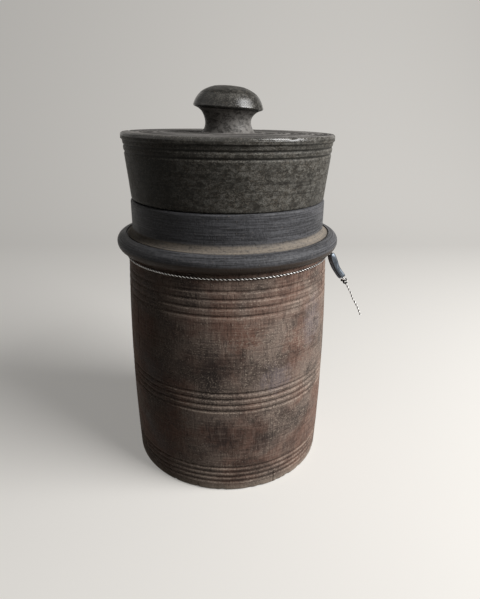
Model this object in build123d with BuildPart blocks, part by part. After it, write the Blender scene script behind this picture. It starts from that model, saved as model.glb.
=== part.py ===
from build123d import *
from math import acos, cos, degrees, hypot, pi, radians, sin, tan
import os

# A turned wooden storage jar with a lift-off lid, and a sealing wire tied under its collar.
# Millimetres, +Z up. The origin is the centre of the foot, on the surface that the jar stands on.
# The jar is seen from -Y. Radii are measured from the Z axis.

# Barrel, outside. The foot and the shoulder are drawn in from the belly.
belly_radius = 72.2
belly_height = 62.0
foot_inset = 1.4
foot_round = 1.6
shoulder_inset = 2.7
shoulder_height = 157.6
base_recess_inset = 18.8
base_recess_depth = 1.6
base_recess_taper = 30.0

# Collar: a half-round bead, a fine groove inside its crest, and a cove that rises to the neck
collar_gap = 2.2
collar_lower_half = 6.2
collar_upper_half = 5.4
collar_step = 1.1
bead_reach = 6.3
crest_groove_width = 1.1
crest_groove_depth = 0.9
cove_reach = 3.3
cove_rise = 5.0

# Neck and mouth
neck_length = 17.2
neck_wall = 8.7
neck_edge_round = 1.1
mouth_depth = 18.0
mouth_chamfer = 0.8

# Vessel, inside
barrel_wall = 8.0
cavity_shoulder_rise = 12.0
floor_thickness = 12.0
floor_corner_radius = 14.0

# Turned grooves, V-shaped. The upper band hangs from the shoulder, the others stand on the foot.
groove_depth = 0.8
groove_width = 2.5
grooves_per_band = 4
upper_band_drop = 9.4
upper_band_pitch = 5.3
middle_band_height = 79.0
middle_band_pitch = 4.4
lower_band_height = 19.8
lower_band_pitch = 4.0

# Lid
lid_height = 41.4
lid_step = 0.7
lid_flare = 3.7
lid_rim_reach = 0.9
lid_rim_height = 4.6
lid_edge_round = 0.9
lid_bottom_chamfer = 0.8
lid_top_thickness = 13.0
lid_hollow_corner = 8.0
spigot_length = 12.5
spigot_clearance = 0.6
spigot_wall = 5.9
spigot_chamfer = 1.0
lid_groove_drops = (7.6, 11.7)
lid_groove_depth = 0.7
lid_groove_width = 2.2
lid_ring_radii = (60.5, 46.0, 27.0)
lid_ring_depth = 0.4
lid_ring_width = 1.6

# Knob, its heights measured from the top of the lid
knob_foot_radius = 17.8
knob_waist_radius = 15.3
knob_waist_height = 7.2
knob_underside_radius = 20.9
knob_underside_height = 14.9
knob_rim_radius = 23.1
knob_rim_bulge = 0.3
knob_rim_low = 16.0
knob_rim_middle = 17.0
knob_rim_high = 18.2
knob_crown_radius = 20.0
knob_crown_height = 23.4
knob_shoulder_radius = 14.4
knob_shoulder_height = 26.7
knob_height = 29.2
tenon_radius = 9.0
tenon_length = 9.5
tenon_clearance = 0.1
tenon_end_gap = 0.5

# Sealing wire, and the crimped sleeve that closes it. The sleeve leans away from the jar.
wire_diameter = 1.1
wire_gap = 0.35
wire_drop = 1.1
wire_bend_radius = 1.3
seal_azimuth = 83.0
seal_lean = 27.5
seal_standoff = 1.0
bore_web = 0.8
bore_clearance = 0.1
sleeve_length = 19.5
sleeve_edge = 1.3
sleeve_flank = 1.65
sleeve_setback = 1.5
sleeve_outline = ((0.0, 0.86), (0.12, 1.0), (0.5, 0.94), (0.86, 1.0), (1.0, 0.84))
short_end_projection = 2.6

# Free tail of the wire, from the sleeve's lower face: along the sleeve, outwards from it, aside
tail_corner_share = 0.45
tail_route = (
    (0.0, 0.0, 0.0),
    (5.2, 0.0, 0.0),
    (11.6, 0.5, -1.1),
    (18.2, 0.1, -1.6),
    (24.8, 0.9, -3.4),
    (30.4, 0.3, -4.8),
)

os.makedirs("parts", exist_ok=True)

shoulder_radius = belly_radius - shoulder_inset
foot_radius = belly_radius - foot_inset
collar_bottom = shoulder_height + collar_gap
collar_middle = collar_bottom + collar_lower_half
collar_top = collar_middle + collar_upper_half
crest_radius = shoulder_radius + collar_step
cove_radius = crest_radius - crest_groove_width
cove_top = collar_top + cove_rise
neck_radius = cove_radius - cove_reach
neck_height = cove_top + neck_length
mouth_radius = neck_radius - neck_wall
mouth_bottom = neck_height - mouth_depth
cavity_radius = shoulder_radius - barrel_wall
cavity_top = mouth_bottom - cavity_shoulder_rise


# The barrel's outline is one arc through the foot, the belly and the shoulder
def arc_through(a, b, c):
    (ax, ay), (bx, by), (cx, cy) = a, b, c
    d = 2 * (ax * (by - cy) + bx * (cy - ay) + cx * (ay - by))
    sa, sb, sc = ax**2 + ay**2, bx**2 + by**2, cx**2 + cy**2
    ux = (sa * (by - cy) + sb * (cy - ay) + sc * (ay - by)) / d
    uy = (sa * (cx - bx) + sb * (ax - cx) + sc * (bx - ax)) / d
    return ux, uy, hypot(ax - ux, ay - uy)


foot_point = (foot_radius, 0.0)
belly_point = (belly_radius, belly_height)
shoulder_point = (shoulder_radius, shoulder_height)
barrel_centre_r, barrel_centre_z, barrel_arc = arc_through(foot_point, belly_point, shoulder_point)


def barrel_radius(z):
    return barrel_centre_r + (barrel_arc**2 - (z - barrel_centre_z) ** 2) ** 0.5


def circles_at(part, level):
    """The circular edges of the part's lowest (0) or highest (-1) level, the smallest first"""
    return part.edges().filter_by(GeomType.CIRCLE).group_by(Axis.Z)[level].sort_by(SortBy.RADIUS)


# Vessel: one piece of wood, turned outside and in
with BuildPart() as vessel:
    with BuildSketch(Plane.XZ):
        with BuildLine():
            Line((0, 0), foot_point)
            ThreePointArc(foot_point, belly_point, shoulder_point)
            Line(shoulder_point, (shoulder_radius, collar_bottom))
            Line((shoulder_radius, collar_bottom), (crest_radius, collar_bottom))
            EllipticalCenterArc((crest_radius, collar_middle), bead_reach, collar_lower_half, -90, arc_size=90)
            EllipticalCenterArc((crest_radius, collar_middle), bead_reach, collar_upper_half, 0, arc_size=90)
            Polyline(
                (crest_radius, collar_top),
                (crest_radius - crest_groove_width / 2, collar_top - crest_groove_depth),
                (cove_radius, collar_top),
            )
            EllipticalCenterArc((cove_radius, cove_top), cove_reach, cove_rise, 180, arc_size=90)
            Polyline((neck_radius, cove_top), (neck_radius, neck_height), (0, neck_height), (0, 0))
        make_face()
    revolve(axis=Axis.Z)

    # Cavity: a straight mouth that widens to the belly, and a rounded floor
    with BuildSketch(Plane.XZ):
        with BuildLine():
            floor_line = Line((0, floor_thickness), (cavity_radius - floor_corner_radius, floor_thickness))
            JernArc(floor_line @ 1, (1, 0), floor_corner_radius, 90)
            Polyline(
                (cavity_radius, floor_thickness + floor_corner_radius),
                (cavity_radius, cavity_top),
                (mouth_radius, mouth_bottom),
                (mouth_radius, neck_height),
                (0, neck_height),
                (0, floor_thickness),
            )
        make_face()
    revolve(axis=Axis.Z, mode=Mode.SUBTRACT)

    # Shallow recess under the foot, so that the jar stands on a ring
    with BuildSketch(Plane.XY):
        Circle(foot_radius - base_recess_inset)
    extrude(amount=base_recess_depth, taper=base_recess_taper, mode=Mode.SUBTRACT)

    fillet(circles_at(vessel, -1)[-1], neck_edge_round)
    chamfer(circles_at(vessel, -1)[0], mouth_chamfer)
    fillet(circles_at(vessel, 0)[-1], foot_round)

    # Three bands of turned grooves
    with BuildSketch(Plane.XZ):
        for top, pitch in (
            (shoulder_height - upper_band_drop, upper_band_pitch),
            (middle_band_height, middle_band_pitch),
            (lower_band_height, lower_band_pitch),
        ):
            for step in range(grooves_per_band):
                z = top - step * pitch
                r = barrel_radius(z)
                with BuildLine():
                    Polyline(
                        (r + groove_depth, z - groove_width),
                        (r - groove_depth, z),
                        (r + groove_depth, z + groove_width),
                        close=True,
                    )
                make_face()
    revolve(axis=Axis.Z, mode=Mode.SUBTRACT)
vessel.part.label = "vessel"

lid_seat = neck_height
lid_top = lid_seat + lid_height
lid_bottom_radius = neck_radius - lid_step
lid_flare_radius = lid_bottom_radius + lid_flare
lid_rim_radius = lid_flare_radius + lid_rim_reach
rim_bottom = lid_top - lid_rim_height
spigot_bottom = lid_seat - spigot_length
spigot_radius = mouth_radius - spigot_clearance


def lid_side_radius(z):
    return lid_bottom_radius + lid_flare * (z - lid_seat) / (rim_bottom - lid_seat)


# Lid: flared side, flat turned top, hollow inside, and a spigot that drops into the mouth
with BuildPart() as lid:
    with BuildSketch(Plane.XZ):
        with BuildLine():
            Polyline(
                (0, spigot_bottom),
                (spigot_radius, spigot_bottom),
                (spigot_radius, lid_seat),
                (lid_bottom_radius, lid_seat),
                (lid_flare_radius, rim_bottom),
                (lid_rim_radius, rim_bottom + lid_rim_reach),
                (lid_rim_radius, lid_top),
                (0, lid_top),
                close=True,
            )
        make_face()
    revolve(axis=Axis.Z)

    with BuildSketch(Plane.XZ):
        with Locations((0, spigot_bottom)):
            hollow_height = lid_top - lid_top_thickness - spigot_bottom
            Rectangle(spigot_radius - spigot_wall, hollow_height, align=(Align.MIN, Align.MIN))
        fillet(vertices().group_by(Axis.Y)[-1].sort_by(Axis.X)[-1], lid_hollow_corner)
    revolve(axis=Axis.Z, mode=Mode.SUBTRACT)

    chamfer(circles_at(lid, 0)[-1], spigot_chamfer)
    fillet(circles_at(lid, -1)[-1], lid_edge_round)
    seat_edges = lid.edges().filter_by(lambda edge: abs(edge.center().Z - lid_seat) < lid_bottom_chamfer / 2)
    chamfer(seat_edges.sort_by(SortBy.RADIUS)[-1], lid_bottom_chamfer)

    # Grooves under the rim, and fine rings on the top
    with BuildSketch(Plane.XZ):
        for drop in lid_groove_drops:
            z = lid_top - drop
            r = lid_side_radius(z)
            with BuildLine():
                Polyline(
                    (r + lid_groove_depth, z - lid_groove_width),
                    (r - lid_groove_depth, z),
                    (r + lid_groove_depth, z + lid_groove_width),
                    close=True,
                )
            make_face()
        for ring in lid_ring_radii:
            with BuildLine():
                Polyline(
                    (ring - lid_ring_width, lid_top + lid_ring_depth),
                    (ring, lid_top - lid_ring_depth),
                    (ring + lid_ring_width, lid_top + lid_ring_depth),
                    close=True,
                )
            make_face()
    revolve(axis=Axis.Z, mode=Mode.SUBTRACT)

    # Blind socket for the knob's tenon
    with Locations(Plane.XY.offset(lid_top)):
        Hole(tenon_radius + tenon_clearance, depth=tenon_length + tenon_end_gap)
lid.part.label = "lid"

# Knob: a mushroom on a waisted stem, with a tenon glued into the lid
with BuildPart() as knob:
    with BuildSketch(Plane.XZ):
        with BuildLine():
            Polyline(
                (0, lid_top + knob_height),
                (0, lid_top - tenon_length),
                (tenon_radius, lid_top - tenon_length),
                (tenon_radius, lid_top),
                (knob_foot_radius, lid_top),
            )
            stem = ThreePointArc(
                (knob_foot_radius, lid_top),
                (knob_waist_radius, lid_top + knob_waist_height),
                (knob_underside_radius, lid_top + knob_underside_height),
            )
            rim = ThreePointArc(
                (knob_rim_radius - knob_rim_bulge, lid_top + knob_rim_low),
                (knob_rim_radius, lid_top + knob_rim_middle),
                (knob_rim_radius - knob_rim_bulge, lid_top + knob_rim_high),
            )
            Line(stem @ 1, rim @ 0)
            crown = ThreePointArc(
                rim @ 1,
                (knob_crown_radius, lid_top + knob_crown_height),
                (knob_shoulder_radius, lid_top + knob_shoulder_height),
            )
            TangentArc((0, lid_top + knob_height), crown @ 1, tangent=(1, 0))
        make_face()
    revolve(axis=Axis.Z)
knob.part.label = "knob"

# Sealing wire. Its loop lies in the corner under the collar. Both ends leave it straight, turn down
# side by side and run through the sleeve: the near end in the bore next to the jar, the far end in
# the outer bore.
up = Vector(0, 0, 1)
loop_height = shoulder_height - wire_drop
loop_radius = shoulder_radius + wire_gap + wire_diameter / 2
bore_spacing = wire_diameter + bore_web
seal_out = Vector(sin(radians(seal_azimuth)), -cos(radians(seal_azimuth)), 0)
seal_aside = Vector(cos(radians(seal_azimuth)), sin(radians(seal_azimuth)), 0)
sleeve_down = seal_out * sin(radians(seal_lean)) - up * cos(radians(seal_lean))
sleeve_outward = seal_out * cos(radians(seal_lean)) + up * sin(radians(seal_lean))
near_corner = seal_out * (loop_radius + seal_standoff) + up * loop_height
far_corner = near_corner + seal_out * (bore_spacing / cos(radians(seal_lean)))
sleeve_top = far_corner + sleeve_down * sleeve_setback - sleeve_outward * (bore_spacing / 2)
sleeve_foot = sleeve_top + sleeve_down * sleeve_length
near_tip = sleeve_foot - sleeve_outward * (bore_spacing / 2) + sleeve_down * short_end_projection
far_tip = sleeve_foot + sleeve_outward * (bore_spacing / 2)


def leaves_loop(corner, side):
    """Where a straight line to the corner touches the loop. side is -1 near the viewer, 1 behind."""
    away = acos(loop_radius / hypot(corner.X, corner.Y))
    angle = radians(seal_azimuth - 90) + side * away
    return Vector(cos(angle), sin(angle), 0) * loop_radius + up * loop_height


near_start = leaves_loop(near_corner, -1)
far_start = leaves_loop(far_corner, 1)
with BuildPart() as seal_wire_loop:
    with BuildLine() as loop_path:
        FilletPolyline(near_tip, near_corner, near_start, radius=wire_bend_radius)
        ThreePointArc(near_start, seal_out * -loop_radius + up * loop_height, far_start)
        FilletPolyline(far_start, far_corner, far_tip, radius=wire_bend_radius)
    with BuildSketch(Plane(origin=near_tip, z_dir=sleeve_down)):
        Circle(wire_diameter / 2)
    sweep(path=loop_path.wire())
seal_wire_loop.part.label = "seal_wire_loop"

# Crimped sleeve with two bores, pinched at its middle and drawn in at its ends
sleeve_width = bore_spacing + wire_diameter + 2 * (bore_clearance + sleeve_edge)
sleeve_thickness = wire_diameter + 2 * (bore_clearance + sleeve_flank)
sleeve_plane = Plane(origin=sleeve_top, x_dir=sleeve_outward, z_dir=sleeve_down)
with BuildPart() as seal_sleeve:
    for along, share in sleeve_outline:
        with BuildSketch(sleeve_plane.offset(along * sleeve_length)):
            Ellipse(share * sleeve_width / 2, share * sleeve_thickness / 2)
    loft()
    with Locations(sleeve_plane):
        with Locations((-bore_spacing / 2, 0), (bore_spacing / 2, 0)):
            Hole(wire_diameter / 2 + bore_clearance)
seal_sleeve.part.label = "seal_sleeve"

# The wire's free tail, which starts where the far end leaves the sleeve
tail_points = [
    far_tip + sleeve_down * along + sleeve_outward * outward + seal_aside * aside
    for along, outward, aside in tail_route
]
runs = [after - before for before, after in zip(tail_points, tail_points[1:])]


def corner_radius(run_in, run_out):
    """The corner's arc takes this share of its shorter run."""
    half_turn = radians(run_in.get_angle(run_out)) / 2
    return tail_corner_share * min(run_in.length, run_out.length) / tan(half_turn)


tail_radii = [corner_radius(run_in, run_out) for run_in, run_out in zip(runs, runs[1:])]
with BuildPart() as seal_wire_tail:
    with BuildLine() as tail_path:
        FilletPolyline(*tail_points, radius=tail_radii)
    with BuildSketch(Plane(origin=far_tip, z_dir=sleeve_down)):
        Circle(wire_diameter / 2)
    sweep(path=tail_path.wire())
seal_wire_tail.part.label = "seal_wire_tail"
tail_length = tail_path.wire().length
tail_section = pi * (wire_diameter / 2) ** 2
print("tail length", round(tail_length, 2), "bend radii", [round(r, 1) for r in tail_radii])
print("turns", [round(a.get_angle(b), 1) for a, b in zip(runs, runs[1:])])
print("runs", [round(run.length, 1) for run in runs])
print("tail volume over section times length", round(seal_wire_tail.part.volume / tail_section / tail_length, 4))

for piece in (vessel, lid, knob, seal_wire_loop, seal_sleeve, seal_wire_tail):
    export_step(piece.part, f"parts/{piece.part.label}.step")
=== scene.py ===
import bmesh
import bpy
from math import acos, atan2, cos, exp, hypot, pi, radians, sin, sqrt, tau
from mathutils import Matrix, Vector, noise
from mathutils.kdtree import KDTree


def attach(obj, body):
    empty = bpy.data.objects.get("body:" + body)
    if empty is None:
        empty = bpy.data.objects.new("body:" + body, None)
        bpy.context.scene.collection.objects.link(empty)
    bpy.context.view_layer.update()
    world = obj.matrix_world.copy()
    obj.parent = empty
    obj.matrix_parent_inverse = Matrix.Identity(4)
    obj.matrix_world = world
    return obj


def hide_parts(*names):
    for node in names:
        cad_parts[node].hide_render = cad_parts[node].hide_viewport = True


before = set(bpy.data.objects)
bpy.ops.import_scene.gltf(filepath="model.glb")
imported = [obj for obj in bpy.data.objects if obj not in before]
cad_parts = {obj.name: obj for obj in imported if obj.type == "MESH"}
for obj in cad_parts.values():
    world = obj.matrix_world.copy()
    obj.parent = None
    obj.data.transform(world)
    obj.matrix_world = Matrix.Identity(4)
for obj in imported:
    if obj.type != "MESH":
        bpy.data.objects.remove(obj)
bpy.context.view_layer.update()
print("frame loaded")

mm = 0.001
up = Vector((0, 0, 1))

# Camera: where the photo was taken from, found by fitting the jar's rims. Azimuth 0 looks along +Y.
view = {
    "imageHeight": 599,
    "focalPixels": 480,
    "sensor": 36.0,
    "position": (0.0, -336.4, 247.7),
    "yaw": 1.541,
    "pitch": 21.292,
    "roll": 0.490,
}


def makeCamera():
    yaw, pitch, roll = (radians(view[key]) for key in ("yaw", "pitch", "roll"))
    forward = Vector((sin(yaw) * cos(pitch), cos(yaw) * cos(pitch), -sin(pitch)))
    level = Vector((cos(yaw), -sin(yaw), 0))
    upright = level.cross(forward)
    right = level * cos(roll) + upright * sin(roll)
    top = upright * cos(roll) - level * sin(roll)
    data = bpy.data.cameras.new("photoCamera")
    data.sensor_width = view["sensor"]
    data.lens = view["sensor"] * view["focalPixels"] / view["imageHeight"]
    data.clip_start = 0.01
    camera = bpy.data.objects.new("photoCamera", data)
    axes = Matrix((right, top, -forward)).transposed().to_4x4()
    camera.matrix_world = Matrix.Translation(Vector(view["position"]) * mm) @ axes
    bpy.context.scene.collection.objects.link(camera)
    bpy.context.scene.camera = camera


makeCamera()
print("camera made")


def linkMesh(name, mesh):
    piece = bpy.data.objects.new(name, mesh)
    bpy.context.scene.collection.objects.link(piece)
    return piece


# Smooth unevenness from 0 to 1, whose swells are so many millimetres across
def bumps(place, size):
    return 0.5 + 0.5 * noise.noise(place / size)


# Sealing wire, in millimetres, as the construction has it
seal = {
    "azimuth": 83.0,
    "lean": 27.5,
    "loopHeight": 156.5,
    "loopRadius": 70.4,
    "standoff": 1.0,
    "wireDiameter": 1.1,
    "boreSpacing": 1.9,
    "setback": 1.5,
    "bend": 1.2,
    "sleeveLength": 19.5,
    "shortEnd": 2.6,
    "twistPitch": 5.0,
    "samplesPerTwist": 14,
    "loopPoints": 24,
}
# The free tail from the sleeve's lower face: along the sleeve, outwards from it, aside
tailRoute = (
    (0.0, 0.0, 0.0),
    (5.2, 0.0, 0.0),
    (11.6, 0.5, -1.1),
    (18.2, 0.1, -1.6),
    (24.8, 0.9, -3.4),
    (30.4, 0.3, -4.8),
)
sealOut = Vector((sin(radians(seal["azimuth"])), -cos(radians(seal["azimuth"])), 0))
sealAside = Vector((cos(radians(seal["azimuth"])), sin(radians(seal["azimuth"])), 0))
sleeveDown = sealOut * sin(radians(seal["lean"])) - up * cos(radians(seal["lean"]))
sleeveOutward = sealOut * cos(radians(seal["lean"])) + up * sin(radians(seal["lean"]))
nearCorner = sealOut * (seal["loopRadius"] + seal["standoff"]) + up * seal["loopHeight"]
farCorner = nearCorner + sealOut * (seal["boreSpacing"] / cos(radians(seal["lean"])))
halfSpacing = sleeveOutward * (seal["boreSpacing"] / 2)
sleeveTop = farCorner + sleeveDown * seal["setback"] - halfSpacing
sleeveFoot = sleeveTop + sleeveDown * seal["sleeveLength"]
nearTip = sleeveFoot - halfSpacing + sleeveDown * seal["shortEnd"]
farTip = sleeveFoot + halfSpacing


# The smooth line of a route: a NURBS spline with the route's points as its controls
def smoothLine(name, route):
    data = bpy.data.curves.new(name, "CURVE")
    data.dimensions = "3D"
    spline = data.splines.new("NURBS")
    spline.points.add(len(route) - 1)
    for control, place in zip(spline.points, route):
        control.co = (*(Vector(place) * mm), 1)
    spline.order_u = 3
    spline.use_endpoint_u = True
    spline.resolution_u = 24
    curve = linkMesh(name, data)
    line = [vertex.co.copy() for vertex in bpy.data.meshes.new_from_object(curve).vertices]
    bpy.data.objects.remove(curve)
    return line


# Points at an even step along a line, and its length
def evenly(line, step):
    lengths = [0.0]
    for a, b in zip(line, line[1:]):
        lengths.append(lengths[-1] + (b - a).length)
    count = max(2, round(lengths[-1] / step))
    points = []
    k = 0
    for i in range(count + 1):
        along = lengths[-1] * i / count
        while k < len(line) - 2 and lengths[k + 1] < along:
            k += 1
        share = (along - lengths[k]) / max(lengths[k + 1] - lengths[k], 1e-12)
        points.append(line[k].lerp(line[k + 1], min(share, 1.0)))
    return points, lengths[-1]


# Round wire along each line of points, as one mesh
def roundWire(name, lines, radius, material):
    data = bpy.data.curves.new(name, "CURVE")
    data.dimensions = "3D"
    data.bevel_depth = radius
    data.bevel_resolution = 2
    data.use_fill_caps = True
    for line in lines:
        spline = data.splines.new("POLY")
        spline.points.add(len(line) - 1)
        for control, place in zip(spline.points, line):
            control.co = (*place, 1)
    curve = linkMesh(name + "Line", data)
    mesh = bpy.data.meshes.new_from_object(curve)
    bpy.data.objects.remove(curve)
    mesh.name = name
    mesh.materials.clear()
    mesh.materials.append(material)
    for polygon in mesh.polygons:
        polygon.use_smooth = True
    return linkMesh(name, mesh)


# Two strands laid round each other along a line
def twistedWire(name, line, material):
    strandRadius = seal["wireDiameter"] * mm / 4
    points, length = evenly(line, seal["twistPitch"] * mm / seal["samplesPerTwist"])
    side = (points[1] - points[0]).orthogonal().normalized()
    strands = ([], [])
    for i, point in enumerate(points):
        ahead = (points[min(i + 1, len(points) - 1)] - points[max(i - 1, 0)]).normalized()
        side = (side - ahead * side.dot(ahead)).normalized()
        turn = tau * i / seal["samplesPerTwist"]
        offset = (side * cos(turn) + ahead.cross(side) * sin(turn)) * strandRadius
        strands[0].append(point + offset)
        strands[1].append(point - offset)
    wire = roundWire(name, strands, strandRadius, material)
    # How far each vertex stands from the wire's middle, as a share of the wire's radius, which sets the
    # painted shade
    middle = KDTree(len(points))
    for i, point in enumerate(points):
        middle.insert(point, i)
    middle.balance()
    shares = [middle.find(vertex.co)[2] / (2 * strandRadius) for vertex in wire.data.vertices]
    wire.data.attributes.new("proud", "FLOAT", "POINT").data.foreach_set("value", shares)
    return wire, length


def leavesLoop(corner, side):
    away = acos(seal["loopRadius"] / hypot(corner.x, corner.y))
    return radians(seal["azimuth"] - 90) + side * away


# The loop's route: up through the far bore, round the jar, and down through the near bore
def loopRoute():
    start, end = leavesLoop(farCorner, 1), leavesLoop(nearCorner, -1)
    span = tau - (start - end)
    count = seal["loopPoints"]
    wide = seal["loopRadius"] / cos(span / count / 2)
    nearShort = nearCorner + sleeveDown * seal["bend"]
    farShort = farCorner + sleeveDown * seal["bend"]
    route = [farTip, farTip.lerp(farShort, 0.5), farShort, farCorner]
    for i in range(count):
        angle = start + span * (i + 0.5) / count
        route.append(Vector((cos(angle) * wide, sin(angle) * wide, seal["loopHeight"])))
    return route + [nearCorner, nearShort, nearShort.lerp(nearTip, 0.5), nearTip]


# Materials. One function turns sRGB hex to linear, one adds a node and gives its output.
def colour(hexText):
    values = [int(hexText[i:i + 2], 16) / 255 for i in (1, 3, 5)]
    linear = [v / 12.92 if v <= 0.04045 else ((v + 0.055) / 1.055) ** 2.4 for v in values]
    return (*linear, 1.0)


def colours(look):
    return {name: colour(value) for name, value in look.items() if str(value).startswith("#")}


def addNode(tree, kind, inputs=(), output=0, **settings):
    node = tree.nodes.new("ShaderNode" + kind)
    for name, value in settings.items():
        setattr(node, name, value)
    for name, value in dict(inputs).items():
        if isinstance(value, bpy.types.NodeSocket):
            tree.links.new(value, node.inputs[name])
        else:
            node.inputs[name].default_value = value
    return node.outputs[output] if node.outputs else node


def newMaterial(name):
    material = bpy.data.materials.new(name)
    material.use_nodes = True
    tree = material.node_tree
    tree.nodes.clear()
    return material, tree


# Ends a material with its surface: the shader's values, and a relief that many millimetres deep
def finishMaterial(tree, surface, relief=None, strength=0.6, depth=0.5):
    if relief is not None:
        bumpy = {"Height": relief, "Strength": strength, "Distance": depth * mm}
        surface = {**surface, "Normal": addNode(tree, "Bump", bumpy)}
    addNode(tree, "OutputMaterial", {"Surface": addNode(tree, "BsdfPrincipled", surface)})


# How far something shows: a product of amounts and of soft steps. A step is a pattern, the two values
# that it goes between, and the amounts at those values where they aren't 0 and 1.
def mask(tree, *parts):
    total = None
    for part in parts:
        if isinstance(part, tuple):
            pattern, low, high, before, after = part if len(part) == 5 else (*part, 0.0, 1.0)
            limits = {0: pattern, 1: low, 2: high, 3: before, 4: after}
            part = addNode(tree, "MapRange", limits, interpolation_type="SMOOTHSTEP")
        if total is not None:
            part = addNode(tree, "Math", {0: total, 1: part}, operation="MULTIPLY")
        total = part
    return total


# A colour laid over another as far as such a mask says
def paint(tree, under, over, *parts):
    return addNode(tree, "Mix", {0: mask(tree, *parts), 6: under, 7: over}, 2, data_type="RGBA")


# Patterns added together, each as it is or by a weight
def blend(tree, *parts):
    total = 0.0
    for part in parts:
        pattern, weight = part if isinstance(part, tuple) else (part, 1.0)
        total = addNode(tree, "Math", {0: pattern, 1: weight, 2: total}, operation="MULTIPLY_ADD")
    return total


# Noise whose features measure so many millimetres along X, Y and Z
def patches(tree, point, size, detail=3.0, roughness=0.55, distortion=0.0):
    scaled = addNode(tree, "Mapping", {"Vector": point, "Scale": [1 / (s * mm) for s in size]})
    settings = {"Scale": 1.0, "Detail": detail, "Roughness": roughness, "Distortion": distortion}
    return addNode(tree, "TexNoise", {"Vector": scaled, **settings})


# Distance from a place in millimetres, 1 at the patch's size, made ragged by a pattern
def awayFrom(tree, point, centre, size, pattern):
    away = addNode(tree, "VectorMath", {0: point, 1: Vector(centre) * mm}, operation="SUBTRACT")
    stretch = [1 / (s * mm) for s in size]
    scaled = addNode(tree, "VectorMath", {0: away, 1: stretch}, operation="MULTIPLY")
    far = addNode(tree, "VectorMath", {0: scaled}, "Value", operation="LENGTH")
    return blend(tree, far, mask(tree, (pattern, 0.3, 0.7, -0.4, 0.4)))


# Lathe lines: noise that runs round the piece and changes every pitch of millimetres along the outline
def latheLines(tree, point, around, pitch, detail=2.0):
    x, y = addNode(tree, "SeparateXYZ", {"Vector": point}).node.outputs[:2]
    along = addNode(tree, "Attribute", output="Fac", attribute_name="along")
    place = {}
    for axis, value, unit in (("X", x, around * mm), ("Y", y, around * mm), ("Z", along, pitch)):
        place[axis] = addNode(tree, "Math", {0: value, 1: unit}, operation="DIVIDE")
    place = addNode(tree, "CombineXYZ", place)
    return addNode(tree, "TexNoise", {"Vector": place, "Scale": 1.0, "Detail": detail})


# Unpainted wood on the hidden insides, browned in clouds and lathe lines
def bareWood(tree, tones, clouds, lathe):
    bare = paint(tree, tones["inside"], tones["insideDark"], (clouds, 0.36, 0.64, 0, 0.5))
    return paint(tree, bare, tones["insideDark"], (lathe, 0.42, 0.66, 0, 0.6))


# Old hardwood turned on a lathe, its dark varnish worn through by hands. The eye gets brown wood with a
# weave of lathe lines and upright grain, soft dark blotches of old varnish, painted shade and dirt in
# the grooves, lips below them painted pale as lit and worn pale, a blackened collar with painted shade
# on the brown wood under its bead, dust in the cove, painted shade in the creases, and a foot worn pale
# and painted lighter. Lathe lines and grain are drawn about three times as coarse as they are, to show
# from a step away.
bodyWood = {
    "wood": "#8a7a70",
    "redWood": "#836457",
    "greyWood": "#857a7a",
    "tanWood": "#a89486",
    "filmAndShade": "#2f2a28",
    "blackened": "#2b2a2c",
    "charcoal": "#626265",
    "charcoalDark": "#363638",
    "shadedBrownUnderBead": "#40362f",
    "dust": "#8f8579",
    "lip": "#bcab9b",
    "inside": "#755f4d",
    "insideDark": "#4c3b30",
    "collarFrom": 161.0,
    "cloudSize": (38.0, 38.0, 30.0),
    "blotchSize": (27.0, 27.0, 24.0),
    "mottleSize": (5.0, 5.0, 5.0),
    "crumbSize": (1.8, 1.8, 1.3),
    "speckSize": (1.1, 1.1, 0.9),
    "grainSize": (1.15, 1.15, 9.0),
    "poreSize": (0.9, 0.9, 3.0),
    "lathePitch": 0.95,
    "spots": (
        ("redWood", 0.9, (10, -71, 119), (14, 20, 12)),
        ("redWood", 0.8, (-36, -62, 50), (9, 16, 12)),
        ("redWood", 0.8, (9, -71, 22), (17, 20, 7)),
        ("redWood", 0.8, (44, -55, 104), (11, 16, 16)),
        ("greyWood", 0.8, (31, -65, 86), (13, 18, 12)),
        ("greyWood", 0.7, (56, -43, 118), (9, 16, 18)),
        ("tanWood", 0.5, (10, -70, 152), (30, 16, 6)),
        ("blackened", 0.7, (-11, -71, 88), (10, 20, 26)),
        ("blackened", 0.7, (-5, -71, 48), (14, 20, 15)),
        ("blackened", 0.6, (-24, -66, 148), (8, 16, 12)),
        ("blackened", 0.55, (25, -67, 38), (11, 16, 10)),
        ("blackened", 0.5, (-52, -48, 75), (14, 20, 40)),
    ),
}


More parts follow.
